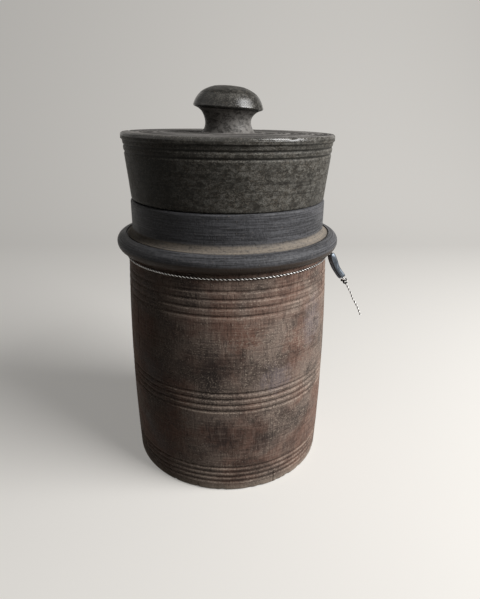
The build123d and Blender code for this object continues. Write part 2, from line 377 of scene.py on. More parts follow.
def makeBodyWood():
    look, tones = bodyWood, colours(bodyWood)
    material, tree = newMaterial("oldTurnedHardwood")
    point = addNode(tree, "TexCoord", output="Object")
    normal = addNode(tree, "TexCoord", output="Normal")
    upward = addNode(tree, "SeparateXYZ", {"Vector": normal}, "Z")
    height = addNode(tree, "SeparateXYZ", {"Vector": point}, "Z")
    height = addNode(tree, "Math", {0: height, 1: mm}, operation="DIVIDE")
    names = ("cut", "lip", "cove", "crease", "inside")
    marks = [addNode(tree, "Attribute", output="Fac", attribute_name=name) for name in names]
    cut, lip, cove, crease, inside = marks

    clouds = patches(tree, point, look["cloudSize"], 3, 0.6, 0.3)
    blotches = patches(tree, point, look["blotchSize"], 4, 0.55, 0.3)
    mottle = patches(tree, point, look["mottleSize"], 5, 0.7, 0.6)
    crumbs = patches(tree, point, look["crumbSize"], 4, 0.68, 0.3)
    specks = patches(tree, point, look["speckSize"], 2, 0.5)
    grain = patches(tree, point, look["grainSize"], 2, 0.55, 0.2)
    pores = patches(tree, point, look["poreSize"], 2, 0.5)
    lathe = latheLines(tree, point, 16, look["lathePitch"], 2)
    fineLathe = latheLines(tree, point, 20, look["lathePitch"] * 0.7, 1)

    base = paint(tree, tones["wood"], tones["redWood"], (clouds, 0.38, 0.62, 0, 0.85))
    base = paint(tree, base, tones["tanWood"], (mottle, 0.50, 0.30, 0, 0.34))
    for tone, amount, centre, size in look["spots"]:
        far = awayFrom(tree, point, centre, size, mottle)
        base = paint(tree, base, tones[tone], (far, 1.2, 0.3), amount)
    for pale in ((grain, 0.50, 0.34, 0, 0.30), (lathe, 0.48, 0.32, 0, 0.36)):
        base = paint(tree, base, tones["tanWood"], pale)
    worn = blend(tree, blotches, (mottle, 0.25))
    base = paint(tree, base, tones["filmAndShade"], (worn, 0.56, 0.80, 0, 0.66), (crumbs, 0.34, 0.56, 0.7, 1.0))
    for dirty in (
        (mottle, 0.52, 0.72, 0, 0.34),
        (crumbs, 0.52, 0.68, 0, 0.36),
        (grain, 0.52, 0.66, 0, 0.30),
        (lathe, 0.52, 0.68, 0, 0.34),
        (pores, 0.62, 0.74, 0, 0.40),
    ):
        base = paint(tree, base, tones["filmAndShade"], dirty)
    nearSpecks = blend(tree, specks, mask(tree, (clouds, 0.62, 0.38, -0.06, 0.04)))
    base = paint(tree, base, tones["lip"], (nearSpecks, 0.60, 0.70, 0, 0.6))

    # Painted shade and dirt in the grooves, lips below them painted pale as lit upward faces and
    # worn pale in some stretches, and a frayed foot
    base = paint(tree, base, tones["filmAndShade"], (cut, 0.25, 0.95, 0, 0.64))
    stretches = (specks, 0.38, 0.60, 0.12, 1.0), (blotches, 0.66, 0.42, 0.4, 1.0)
    base = paint(tree, base, tones["lip"], lip, *stretches)
    # Painted light: the frayed foot is worn pale and lightened further, as if lit
    base = paint(tree, base, tones["lip"], (height, 7.5, 2.0), (crumbs, 0.28, 0.54), 0.75)

    # The collar was blackened, down to a little way under the bead
    edge = blend(tree, height, mask(tree, (clouds, 0.3, 0.7, -0.9, 0.9)))
    black = mask(tree, (edge, look["collarFrom"], look["collarFrom"] + 2.2))
    streaks = blend(tree, (fineLathe, 0.55), (crumbs, 0.45))
    dark = paint(tree, tones["charcoalDark"], tones["charcoal"], (streaks, 0.36, 0.66))
    dark = paint(tree, dark, tones["dust"], (specks, 0.66, 0.76, 0, 0.5))
    base = paint(tree, base, dark, black)
    # Painted shade under the bead: its downward faces are brown wood, darkened as if in shade
    shadedBrownUnderBead = (upward, 0.3, -0.25), (height, 158, 160), (height, 166.5, 164.0)
    base = paint(tree, base, tones["shadedBrownUnderBead"], *shadedBrownUnderBead)

    # Dust lies in the cove, painted shade in the creases, and the hidden inside is bare
    dustLines = mask(tree, (crumbs, 0.30, 0.56, 0.35, 0.8)), mask(tree, (lathe, 0.4, 0.6, -0.1, 0.2))
    dusty = mask(tree, cove, (upward, 0.0, 0.35), blend(tree, *dustLines))
    base = paint(tree, base, tones["dust"], dusty)
    base = paint(tree, base, tones["filmAndShade"], (crease, 0.1, 0.55))
    base = paint(tree, base, bareWood(tree, tones, clouds, lathe), inside)

    rough = blend(tree, mask(tree, (worn, 0.56, 0.86, 0.66, 0.50)), (black, -0.16), (dusty, 0.4))
    shine = mask(tree, (black, 0, 1, 0.1, 0.18))
    pits = mask(tree, (pores, 0.60, 0.74, 0, 0.4))
    relief = blend(tree, (lathe, -0.5), (grain, -0.35), (specks, 0.35), (crumbs, 0.3), (pits, -1.0))
    surface = {"Base Color": base, "Roughness": rough, "IOR": 1.46, "Specular IOR Level": shine}
    finishMaterial(tree, surface, relief)
    return material


# The lid's and knob's wood, blackened and waxed, its crust crackled by age. The eye gets a greenish
# black thick with small pale flecks, painted shade and dirt in the grooves and under the rims, lips
# painted pale as lit and worn, rims rubbed to a gloss, and a top that is grey with dust in rings.
lidWood = {
    "cut": "#21201d",
    "fleck": "#928e86",
    "brownFleck": "#786e61",
    "dust": "#9a9692",
    "dustDark": "#434140",
    "inside": "#655242",
    "insideDark": "#40332a",
    "cloudSize": (26.0, 26.0, 18.0),
    "crumbSize": (3.6, 3.6, 2.4),
    "fleckSize": (0.85, 0.85, 0.595),
    "lathePitch": 1.6,
    "ringPitch": 2.3,
    "shine": 0.1,
    "edgeShine": 0.65,
    "leastRough": 0.12,
}
lidFinish = {"deep": "#32302c", "black": "#54524d", "gloss": 0.42, "flecked": 0.5, "dusty": 1.0}
knobFinish = {"deep": "#1c1b19", "black": "#3a3935", "gloss": 0.3, "flecked": 0.28, "dusty": 0.1}


def makeLidWood(name, finish):
    look, tones = lidWood, colours({**lidWood, **finish})
    material, tree = newMaterial(name)
    point = addNode(tree, "TexCoord", output="Object")
    normal = addNode(tree, "TexCoord", output="Normal")
    upward = addNode(tree, "SeparateXYZ", {"Vector": normal}, "Z")
    names = ("cut", "lip", "rub", "cove", "inside")
    marks = [addNode(tree, "Attribute", output="Fac", attribute_name=name) for name in names]
    cut, lip, rub, cove, inside = marks

    clouds = patches(tree, point, look["cloudSize"], 4, 0.6, 0.4)
    crumbs = patches(tree, point, look["crumbSize"], 4, 0.7, 0.5)
    flecks = patches(tree, point, look["fleckSize"], 3, 0.6, 0.4)
    lathe = latheLines(tree, point, 40, look["lathePitch"])
    rings = latheLines(tree, point, 60, look["ringPitch"], 3)

    inClouds = mask(tree, (clouds, 0.32, 0.68, -0.06, 0.05))
    inCrumbs = mask(tree, (crumbs, 0.34, 0.66, -0.05, 0.05))
    amount = blend(tree, flecks, inClouds, inCrumbs)
    pale = paint(tree, tones["brownFleck"], tones["fleck"], (crumbs, 0.42, 0.62))
    base = paint(tree, tones["deep"], tones["black"], (crumbs, 0.36, 0.62))
    base = paint(tree, base, pale, (amount, 0.47, 0.65, 0, finish["flecked"]))
    base = paint(tree, base, tones["cut"], (lathe, 0.54, 0.70, 0, 0.5))
    # Painted shade and dirt in grooves and under rims; lips painted pale as lit and worn
    base = paint(tree, base, tones["cut"], (cut, 0.2, 0.8, 0, 0.8))
    stretches = (flecks, 0.44, 0.60, 0.05, 0.7), (clouds, 0.62, 0.40, 0.3, 1.0)
    base = paint(tree, base, tones["fleck"], lip, *stretches)

    # Dust in rings on top and in the corner under the knob
    dust = paint(tree, tones["dustDark"], tones["dust"], (rings, 0.38, 0.62))
    dust = paint(tree, dust, tones["dustDark"], (flecks, 0.56, 0.70, 0, 0.4))
    lying = mask(tree, (upward, 0.80, 0.98, 0, finish["dusty"]), (crumbs, 0.34, 0.60, 0.6, 1.0))
    base = paint(tree, base, dust, lying)
    base = paint(tree, base, tones["dust"], cove, (crumbs, 0.36, 0.58, 0.25, 0.8))
    base = paint(tree, base, bareWood(tree, tones, clouds, lathe), inside)

    rough = mask(tree, (amount, 0.44, 0.68, finish["gloss"], finish["gloss"] + 0.25))
    rough = blend(tree, rough, (rub, -0.3), (lying, 0.25))
    rough = addNode(tree, "Math", {0: rough, 1: look["leastRough"]}, operation="MAXIMUM")
    shine = mask(tree, (rub, 0.1, 0.8, look["shine"], look["edgeShine"]))
    relief = blend(tree, (flecks, 0.6), (crumbs, 0.9), (lathe, -0.4))
    relief = mask(tree, relief, (rub, 0.2, 0.9, 1.0, 0.3))
    surface = {"Base Color": base, "Roughness": rough, "IOR": 1.5, "Specular IOR Level": shine}
    finishMaterial(tree, surface, relief, depth=0.4)
    return material


# Tinned steel wire, drawn bright: the eye gets a glint where each turn of a strand stands proud, and
# painted shade in the hollows between the turns
wireSteel = {
    "dull": "#e4e2e0",
    "bright": "#fbfaf8",
    "hollowShade": "#262322",
    "scuffSize": (0.8, 0.8, 0.8),
}


def makeWireSteel():
    look, tones = wireSteel, colours(wireSteel)
    material, tree = newMaterial("tinnedSteelWire")
    point = addNode(tree, "TexCoord", output="Object")
    proud = addNode(tree, "Attribute", output="Fac", attribute_name="proud")
    scuffs = patches(tree, point, look["scuffSize"], 2)
    # Painted shade: the hollows between the turns, where proud is low, are painted dark and not metallic
    unmarked = mask(tree, (proud, 0.81, 0.92))
    base = paint(tree, tones["dull"], tones["bright"], (scuffs, 0.35, 0.65))
    base = paint(tree, tones["hollowShade"], base, unmarked)
    rough = mask(tree, (unmarked, 0.1, 0.9, 0.7, 0.44))
    surface = {"Base Color": base, "Metallic": unmarked, "Roughness": rough, "Specular IOR Level": 0.1}
    finishMaterial(tree, surface)
    return material


# Tin plate pressed round the wires and lacquered nearly black: a dark skin with a long soft gloss, and
# bluish grey patches, partly worn and partly a painted sheen, lightened to add to the gloss
sleeveTin = {
    "lacquer": "#1c1e21",
    "worn": "#737a83",
    "sheen": "#cfdded",
    "rubSize": (2.2, 2.2, 5.0),
}


def makeSleeveTin():
    look, tones = sleeveTin, colours(sleeveTin)
    material, tree = newMaterial("lacqueredPressedTin")
    point = addNode(tree, "TexCoord", output="Object")
    rubs = patches(tree, point, look["rubSize"], 2, 0.5, 0.3)
    # Painted sheen: the bluish grey patches are lightened beyond wear, to add to the gloss
    base = paint(tree, tones["lacquer"], tones["worn"], (rubs, 0.50, 0.70))
    surface = {"Base Color": base, "Roughness": 0.3, "IOR": 2.1, "Specular Tint": tones["sheen"]}
    finishMaterial(tree, surface, rubs, strength=0.3, depth=0.3)
    return material


woodMaterial = makeBodyWood()
lidMaterial = makeLidWood("blackenedTurnedHardwood", lidFinish)
knobMaterial = makeLidWood("blackenedHandledHardwood", knobFinish)
wireMaterial = makeWireSteel()
sleeveMaterial = makeSleeveTin()
print("materials made")

tailPoints = [
    farTip + sleeveDown * along + sleeveOutward * outward + sealAside * aside
    for along, outward, aside in tailRoute
]
tailLine = smoothLine("tailLine", tailPoints)
wireTail, tailLength = twistedWire("twistedTail", tailLine, wireMaterial)
loopLine = smoothLine("loopLine", loopRoute())
wireLoop, loopLength = twistedWire("twistedLoop", loopLine, wireMaterial)
print("wire made, tail", round(tailLength / mm, 2), "mm, loop", round(loopLength / mm, 1), "mm")

# The short end's strands, wound back round the tail below the sleeve. Their ends stand off: each step
# is a share of the strand's own reach outwards, then millimetres aside and down.
curl = {
    "start": -1.4,
    "drop": 3.6,
    "turns": 2.2,
    "radius": 1.25,
    "strand": 0.34,
    "ends": ((0.6, -0.8, 0.3), (1.0, -0.6, -1.4), (0.9, -0.4, -3.6)),
    "glint": 0.27,
    "glintSize": 1.6,
    "steps": 34,
}


def curlRoute(phase, outReach):
    c = curl
    route = [nearTip - sleeveDown * 1.0, nearTip]
    for i in range(c["steps"] + 1):
        share = i / c["steps"]
        turn = phase + tau * c["turns"] * share
        centre = farTip + sleeveDown * (seal["shortEnd"] + c["start"] + c["drop"] * share)
        offset = sleeveOutward * cos(turn) + sealAside * sin(turn)
        route.append(centre + offset * c["radius"])
    last = route[-1]
    for share, aside, down in c["ends"]:
        route.append(last + sleeveOutward * outReach * share + sealAside * aside + sleeveDown * down)
    return route


curlLines = [smoothLine("curlA", curlRoute(pi, 2.3)), smoothLine("curlB", curlRoute(pi * 1.45, -1.5))]
wireCurl = roundWire("woundShortEnd", curlLines, curl["strand"] * mm, wireMaterial)
# Random proud shares for the curl: where they are low, the wire's material paints shade in patches
shares = [bumps(vertex.co / mm, curl["glintSize"]) + curl["glint"] for vertex in wireCurl.data.vertices]
wireCurl.data.attributes.new("proud", "FLOAT", "POINT").data.foreach_set("value", shares)

# Crimped sleeve: rings down its length, each (share of the length, width, thickness, shift outwards)
sleeve = {
    "width": 5.8,
    "thickness": 4.6,
    "rings": (
        (0.0, 0.64, 0.74, 0.0),
        (0.025, 0.76, 0.86, 0.0),
        (0.10, 0.88, 0.94, -0.1),
        (0.24, 0.94, 0.96, -0.3),
        (0.40, 0.92, 0.88, -0.55),
        (0.52, 0.86, 0.80, -0.7),
        (0.62, 0.82, 0.80, -0.6),
        (0.74, 0.82, 0.78, -0.3),
        (0.86, 0.84, 0.76, 0.1),
        (0.955, 0.82, 0.74, 0.5),
        (1.0, 0.72, 0.66, 0.6),
    ),
    "sides": 32,
    "facetTurn": -50.0,
    "facetPower": 3.2,
    "foldAt": -1.3,
    "foldWidth": 0.5,
    "foldDepth": 0.4,
    "endInset": 0.35,
    "endSink": 0.25,
}


def makeSleeve():
    s, power = sleeve, sleeve["facetPower"]
    bm = bmesh.new()
    axes = Matrix((sleeveOutward, sealAside, sleeveDown)).transposed().to_4x4()
    loops = []
    for share, wide, thick, shift in s["rings"]:
        size = Matrix.Diagonal((s["width"] / 2 * wide * mm, s["thickness"] / 2 * thick * mm, 1, 1))
        centre = sleeveTop + sleeveDown * seal["sleeveLength"] * share + sleeveOutward * shift
        place = Matrix.Translation(centre * mm)
        made = bmesh.ops.create_circle(bm, radius=1.0, segments=s["sides"], matrix=place @ axes @ size)
        ring = set(made["verts"])
        loops.append([edge for edge in bm.edges if edge.verts[0] in ring and edge.verts[1] in ring])
        # Four flats from the pliers, and a fold where the plate's edges meet
        for vert in ring:
            off = vert.co / mm - centre
            across, aside = off.dot(sleeveOutward), off.dot(sealAside)
            turn = atan2(aside, across) - radians(s["facetTurn"])
            flat = (abs(cos(turn)) ** power + abs(sin(turn)) ** power) ** (-1 / power)
            fold = exp(-((across - s["foldAt"]) / s["foldWidth"]) ** 2) if aside < 0 else 0.0
            vert.co = (centre + off * flat + sealAside * (fold * s["foldDepth"])) * mm
    for a, b in zip(loops, loops[1:]):
        bmesh.ops.bridge_loops(bm, edges=a + b)
    for ends in (loops[0], loops[-1]):
        cap = bmesh.ops.contextual_create(bm, geom=ends)["faces"]
        bmesh.ops.inset_region(bm, faces=cap, thickness=s["endInset"] * mm, depth=-s["endSink"] * mm)
    bmesh.ops.recalc_face_normals(bm, faces=bm.faces)
    mesh = bpy.data.meshes.new("crimpedSleeve")
    bm.to_mesh(mesh)
    bm.free()
    for polygon in mesh.polygons:
        polygon.use_smooth = True
    mesh.materials.append(sleeveMaterial)
    piece = linkMesh("crimpedSleeve", mesh)
    soften = piece.modifiers.new("soften", "SUBSURF")
    soften.levels = soften.render_levels = 2
    return piece


sleevePiece = makeSleeve()
print("sleeve and curl made")


# Outline pieces. Each gives points (radius, height, marks), without its last point.
def straight(a, b, step, **marks):
    count = max(1, round(hypot(b[0] - a[0], b[1] - a[1]) / step))
    shares = [i / count for i in range(count)]
    return [(a[0] + (b[0] - a[0]) * s, a[1] + (b[1] - a[1]) * s, marks) for s in shares]


def arc(centre, wide, high, start, end, count, **marks):
    angles = [radians(start + (end - start) * i / count) for i in range(count)]
    return [(centre[0] + wide * cos(a), centre[1] + high * sin(a), marks) for a in angles]


def circleThrough(a, b, c):
    d = 2 * (a[0] * (b[1] - c[1]) + b[0] * (c[1] - a[1]) + c[0] * (a[1] - b[1]))
    squares = [p[0] ** 2 + p[1] ** 2 for p in (a, b, c)]
    x = (squares[0] * (b[1] - c[1]) + squares[1] * (c[1] - a[1]) + squares[2] * (a[1] - b[1])) / d
    y = (squares[0] * (c[0] - b[0]) + squares[1] * (a[0] - c[0]) + squares[2] * (b[0] - a[0])) / d
    return x, y, hypot(a[0] - x, a[1] - y)


def through(a, b, c, count, **marks):
    x, y, radius = circleThrough(a, b, c)
    first, middle, last = (atan2(p[1] - y, p[0] - x) for p in (a, b, c))
    sweep = (last - first) % tau
    if sweep < (middle - first) % tau:
        sweep -= tau
    return arc((x, y), radius, radius, first * 360 / tau, (first + sweep) * 360 / tau, count, **marks)


# A turned V groove with a rounded bottom at some heights: how deep, how dark with painted shade and
# dirt, and its lip, painted pale as a lit upward face and worn
def grooveMarks(z, heights, half):
    below = min((z - g for g in heights), key=abs)
    near = abs(below) / half
    shape = max(0.0, 1 - sqrt(near ** 2 + 0.03))
    shadeAndDirt = max(0.0, 1 - abs(below - 0.25 * half) / (0.95 * half))
    lip = exp(-((below + 0.86 * half) / (0.27 * half)) ** 2)
    lip += 0.25 * exp(-((below - 1.15 * half) / (0.25 * half)) ** 2)
    return shape, {"cut": shadeAndDirt, "lip": min(1.0, lip)}


markNames = ("along", "cut", "lip", "rub", "cove", "crease", "inside")


# Spins an outline in millimetres about the axis; the marks stay on the vertices
def spinOutline(outline, steps):
    bm = bmesh.new()
    layers = {name: bm.verts.layers.float.new(name) for name in markNames}
    corners = []
    along = 0.0
    for i, (r, z, marks) in enumerate(outline):
        corner = bm.verts.new((r * mm, 0, z * mm))
        if i:
            along += hypot(r - outline[i - 1][0], z - outline[i - 1][1])
        corner[layers["along"]] = along
        for name, value in marks.items():
            corner[layers[name]] = value
        corners.append(corner)
    for a, b in zip(corners, corners[1:]):
        bm.edges.new((a, b))
    line = bm.verts[:] + bm.edges[:]
    spun = {"cent": (0, 0, 0), "axis": (0, 0, 1), "angle": tau, "steps": steps, "use_merge": True}
    bmesh.ops.spin(bm, geom=line, **spun)
    bmesh.ops.remove_doubles(bm, verts=bm.verts, dist=0.002 * mm)
    bmesh.ops.recalc_face_normals(bm, faces=bm.faces)
    return bm


def finishTurned(name, bm, material, sharpAngle=38):
    mesh = bpy.data.meshes.new(name)
    bm.to_mesh(mesh)
    bm.free()
    for polygon in mesh.polygons:
        polygon.use_smooth = True
    mesh.set_sharp_from_angle(angle=radians(sharpAngle))
    mesh.materials.append(material)
    return linkMesh(name, mesh)


# Moves a vertex towards the axis by some millimetres
def pressIn(vert, depth):
    r = hypot(vert.co.x, vert.co.y) / mm
    vert.co.x *= (r - depth) / r
    vert.co.y *= (r - depth) / r


# Drying cracks: azimuth in degrees, lower and upper height, width and depth in millimetres
def cutCracks(bm, cracks, minRadius):
    for azimuth, low, high, width, depth in cracks:
        angle = radians(azimuth - 90)
        out = Vector((cos(angle), sin(angle), 0))
        aside = Vector((-out.y, out.x, 0))
        near = [f for f in bm.faces if crackReaches(f.verts[0].co / mm, out, aside, low, high, minRadius)]
        for shift in (-width / 2, 0.0, width / 2):
            geom = list({v for f in near for v in f.verts} | {e for f in near for e in f.edges}) + near
            plane = {"plane_co": aside * (shift * mm), "plane_no": aside, "dist": 1e-7}
            cut = bmesh.ops.bisect_plane(bm, geom=geom, **plane)
            near = [item for item in cut["geom"] if isinstance(item, bmesh.types.BMFace)]
        for vert in {v for f in near for v in f.verts}:
            away = abs(vert.co.dot(aside)) / mm
            share = (vert.co.z / mm - low) / (high - low)
            if away < 0.01 and 0 < share < 1:
                pressIn(vert, depth * sin(pi * share) ** 0.6)
                # The crack's middle line is marked for painted shade
                vert[bm.verts.layers.float["crease"]] = 1.0
            if away < width:
                vert.co += aside * (0.45 * mm * noise.noise(Vector((azimuth, 0, vert.co.z / mm / 5))))


def crackReaches(corner, out, aside, low, high, minRadius):
    inside = low - 2.5 < corner.z < high + 2.5
    return inside and abs(corner.dot(aside)) < 4 and corner.dot(out) > minRadius


vessel = {
    "footRadius": 70.8,
    "bellyRadius": 72.2,
    "bellyHeight": 62.0,
    "shoulderRadius": 69.5,
    "shoulderHeight": 157.6,
    "recessRadius": 52.0,
    "recessDepth": 1.6,
    "footRound": 1.8,
    "beadMiddle": 166.0,
    "beadLower": 6.2,
    "beadUpper": 5.4,
    "beadReach": 6.3,
    "crestRadius": 70.6,
    "creaseDepth": 0.8,
    "creaseReaches": (0.3, 0.8),
    "coveRadius": 69.5,
    "coveReach": 3.3,
    "coveRise": 5.0,
    "neckHeight": 193.6,
    "neckRound": 1.5,
    "neckWall": 8.7,
    "mouthDepth": 18.0,
    "mouthChamfer": 0.8,
    "cavityRadius": 61.5,
    "cavityRise": 12.0,
    "floor": 12.0,
    "floorRound": 14.0,
    "bands": ((148.2, 5.3), (79.0, 4.4), (19.8, 4.0)),
    "groovesPerBand": 4,
    "grooveDepth": 0.9,
    "grooveHalf": 1.4,
    "fineStep": 0.42,
    "plainStep": 2.0,
    "segments": 300,
    "cracks": (
        (65.5, 136.0, 157.0, 2.6, 2.6),
        (-58.0, 96.0, 131.0, 0.6, 1.2),
        (-131.0, 24.0, 61.0, 0.6, 1.4),
        (138.0, 100.0, 128.0, 0.5, 1.1),
        (171.0, 0.6, 17.0, 0.8, 2.0),
        (27.0, 0.6, 10.5, 0.6, 1.4),
    ),
}
barrelCircle = circleThrough(
    (vessel["footRadius"], 0),
    (vessel["bellyRadius"], vessel["bellyHeight"]),
    (vessel["shoulderRadius"], vessel["shoulderHeight"]),
)


def barrelRadius(z):
    return barrelCircle[0] + sqrt(barrelCircle[2] ** 2 - (z - barrelCircle[1]) ** 2)


def barrelOutline():
    v = vessel
    heights = [top - i * pitch for top, pitch in v["bands"] for i in range(v["groovesPerBand"])]
    z = v["footRound"]
    points = []
    while z < v["shoulderHeight"]:
        shape, marks = grooveMarks(z, heights, v["grooveHalf"])
        points.append((barrelRadius(z) - v["grooveDepth"] * shape, z, marks))
        near = min(abs(z - g) for g in heights)
        z += v["fineStep"] if near < v["grooveHalf"] + v["plainStep"] else v["plainStep"]
    return points


def vesselOutline():
    v = vessel
    low, top = v["beadMiddle"] - v["beadLower"], v["beadMiddle"] + v["beadUpper"]
    crest, middle, rounded = v["crestRadius"], v["beadMiddle"], v["neckRound"]
    coveTop, neckTop = top + v["coveRise"], v["neckHeight"]
    neck = v["coveRadius"] - v["coveReach"]
    mouth, chamfer = neck - v["neckWall"], v["mouthChamfer"]
    mouthBottom = neckTop - v["mouthDepth"]
    cavity, cavityTop = v["cavityRadius"], mouthBottom - v["cavityRise"]
    foot = barrelRadius(v["footRound"]) - v["footRound"]
    floorTop = v["floor"] + v["floorRound"]
    return (
        straight((0, v["recessDepth"]), (v["recessRadius"] - 1, v["recessDepth"]), 8)
        + straight((v["recessRadius"] - 1, v["recessDepth"]), (v["recessRadius"], 0), 1)
        + straight((v["recessRadius"], 0), (foot, 0), 3)
        + arc((foot, v["footRound"]), v["footRound"], v["footRound"], -90, 0, 5)
        + barrelOutline()
        + straight((v["shoulderRadius"], v["shoulderHeight"]), (v["shoulderRadius"], low), 0.8)
        + straight((v["shoulderRadius"], low), (crest, low), 0.6)
        + arc((crest, middle), v["beadReach"], v["beadLower"], -90, 0, 12)
        + arc((crest, middle), v["beadReach"], v["beadUpper"], 0, 90, 12)
        + [(crest, top, {})]
        # The crease between bead and cove is marked for painted shade
        + [(crest - reach, top - v["creaseDepth"], {"crease": 1.0}) for reach in v["creaseReaches"]]
        + arc((v["coveRadius"], coveTop), v["coveReach"], v["coveRise"], 270, 180, 9, cove=1.0)
        + straight((neck, coveTop), (neck, coveTop + 1.6), 0.8, cove=0.5)
        + straight((neck, coveTop + 1.6), (neck, neckTop - rounded), 0.8)
        + arc((neck - rounded, neckTop - rounded), rounded, rounded, 0, 90, 5, rub=1.0)
        + straight((neck - rounded, neckTop), (mouth + chamfer, neckTop), 1.5)
        + straight((mouth + chamfer, neckTop), (mouth, neckTop - chamfer), 0.6, inside=1.0)
        + straight((mouth, neckTop - chamfer), (mouth, mouthBottom), 2.5, inside=1.0)
        + straight((mouth, mouthBottom), (cavity, cavityTop), 2.5, inside=1.0)
        + straight((cavity, cavityTop), (cavity, floorTop), 6, inside=1.0)
        + arc((cavity - v["floorRound"], floorTop), v["floorRound"], v["floorRound"], 0, -90, 8, inside=1.0)
        + straight((cavity - v["floorRound"], v["floor"]), (0, v["floor"]), 8, inside=1.0)
        + [(0, v["floor"], {"inside": 1.0})]
    )


# Age: the barrel has shrunk a little across its grain, its foot is chipped and its skin is uneven
wear = {
    "shrink": 0.2,
    "skin": 0.14,
    "skinSize": 14.0,
    "fineSkin": 0.09,
    "fineSize": 2.6,
    "chipDepth": 0.9,
    "chipSize": 3.4,
    "chipHeight": 3.0,
    "chipFrom": 0.14,
    "grooveFill": 0.45,
    "grooveFillSize": 17.0,
    "wornFrom": 10.0,
    "wornTo": 60.0,
    "wornAbove": 120.0,
    "wornLeast": 0.15,
    "wornMore": 0.4,
    "wornLip": 0.75,
}


def ageVessel(bm):
    w, v = wear, vessel
    lipLayer, cutLayer = bm.verts.layers.float["lip"], bm.verts.layers.float["cut"]
    for vert in bm.verts:
        x, y, z = vert.co / mm
        r = hypot(x, y)
        if r < v["cavityRadius"] + 1.5 or z < 0.01:
            continue
        place = Vector((x, y, z))
        inward = w["shrink"] * (y / r) ** 2
        inward += w["skin"] * bumps(place, w["skinSize"]) + w["fineSkin"] * bumps(place, w["fineSize"])
        if z < w["chipHeight"]:
            chip = (noise.noise(Vector((x, y, z * 0.4)) / w["chipSize"]) - w["chipFrom"]) / 0.25
            inward += w["chipDepth"] * max(0.0, min(1.0, chip)) * (1 - z / w["chipHeight"])
        # Some stretches of groove are shallower than others, their painted shade, dirt and pale lips
        # fainter, the upper band's most at one side
        unmarked = w["grooveFill"] * bumps(place + Vector((40, 0, 0)), w["grooveFillSize"])
        if z > w["wornAbove"]:
            share = (atan2(x, -y) - radians(w["wornFrom"])) / radians(w["wornTo"] - w["wornFrom"])
            unmarked += w["wornLeast"] + w["wornMore"] * max(0.0, min(1.0, share))
            vert[lipLayer] *= w["wornLip"]
        if z < v["shoulderHeight"]:
            inward -= unmarked * v["grooveDepth"] * 0.5 * vert[cutLayer]
            vert[cutLayer] *= 1 - unmarked
            vert[lipLayer] *= 1.1 - unmarked
        pressIn(vert, inward)


def makeVessel():
    bm = spinOutline(vesselOutline(), vessel["segments"])
    ageVessel(bm)
    cutCracks(bm, vessel["cracks"], vessel["footRadius"] - 4)
    return finishTurned("turnedVessel", bm, woodMaterial)


vesselPiece = makeVessel()
print("vessel made,", len(vesselPiece.data.polygons), "faces")

lid = {
    "seat": 193.6,
    "height": 41.4,
    "bottomRadius": 65.5,
    "flareRadius": 69.2,
    "rimRadius": 70.1,
    "rimHeight": 4.6,
    "rimReach": 0.9,
    "edgeRound": 1.5,
    "bottomRound": 0.9,
    "spigotLength": 12.5,
    "spigotRadius": 56.9,
    "hollowRadius": 51.0,
    "hollowRound": 8.0,
    "topThickness": 13.0,
    "grooveDrops": (7.6, 11.7),
    "grooveDepth": 0.75,
    "grooveHalf": 1.15,
    "ringPitch": 5.2,
    "ringDepth": 0.22,
    "tilt": 0.4,
    "skin": 0.26,
    "skinSize": 8.0,
    "fineStep": 0.4,
    "fineReach": 1.2,
    "plainStep": 1.4,
    "faceStep": 0.8,
    "segments": 280,
    "chips": ((31.0, 2.2, 1.1), (-18.0, 1.6, 0.6), (74.0, 2.0, 0.8), (160.0, 3.0, 1.2), (-100.0, 2.4, 0.9)),
}


def lidOutline():
    v = lid
    top, low = v["seat"] + v["height"], v["seat"] - v["spigotLength"]
    rimLow, ceiling = top - v["rimHeight"], top - v["topThickness"]
    rounded, edge, hollowRound = v["bottomRound"], v["edgeRound"], v["hollowRound"]
    spigot, bottom, rim, hollow = v["spigotRadius"], v["bottomRadius"], v["rimRadius"], v["hollowRadius"]
    heights = [top - drop for drop in v["grooveDrops"]]
    side = []
    z = v["seat"] + rounded
    while z < rimLow:
        r = bottom + (v["flareRadius"] - bottom) * (z - v["seat"]) / (rimLow - v["seat"])
        shape, marks = grooveMarks(z, heights, v["grooveHalf"])
        side.append((r - v["grooveDepth"] * shape, z, marks))
        near = min(abs(z - g) for g in heights)
        z += v["fineStep"] if near < v["grooveHalf"] + v["fineReach"] else v["plainStep"]
    face = []
    r = rim - edge
    while r > 1:
        face.append((r, top - v["ringDepth"] * (0.5 + 0.5 * cos(tau * r / v["ringPitch"])), {}))
        r -= v["faceStep"]
    return (
        straight((0, ceiling), (hollow - hollowRound, ceiling), 8, inside=1.0)
        + arc((hollow - hollowRound, ceiling - hollowRound), hollowRound, hollowRound, 90, 0, 7, inside=1.0)
        + straight((hollow, ceiling - hollowRound), (hollow, low), 6, inside=1.0)
        + straight((hollow, low), (spigot - 1, low), 2, inside=1.0)
        + straight((spigot - 1, low), (spigot, low + 1), 0.7, inside=1.0)
        + straight((spigot, low + 1), (spigot, v["seat"]), 3, inside=1.0)
        + straight((spigot, v["seat"]), (bottom - rounded, v["seat"]), 2)
        + arc((bottom - rounded, v["seat"] + rounded), rounded, rounded, -90, 0, 5)
        + side
        # The step under the rim is marked for painted shade
        + straight((v["flareRadius"], rimLow), (rim, rimLow + v["rimReach"]), 0.4, cut=0.5)
        + straight((rim, rimLow + v["rimReach"]), (rim, top - edge), 0.8, rub=0.2)
        + arc((rim - edge, top - edge), edge, edge, 0, 90, 7, rub=1.0)
        + face
        + [(0, top, {})]
    )


def ageTurned(bm, depth, size, keepRadius):
    for vert in bm.verts:
        if hypot(vert.co.x, vert.co.y) > keepRadius * mm:
            pressIn(vert, depth * bumps(vert.co / mm, size) + depth * 0.4 * bumps(vert.co / mm, size / 4))


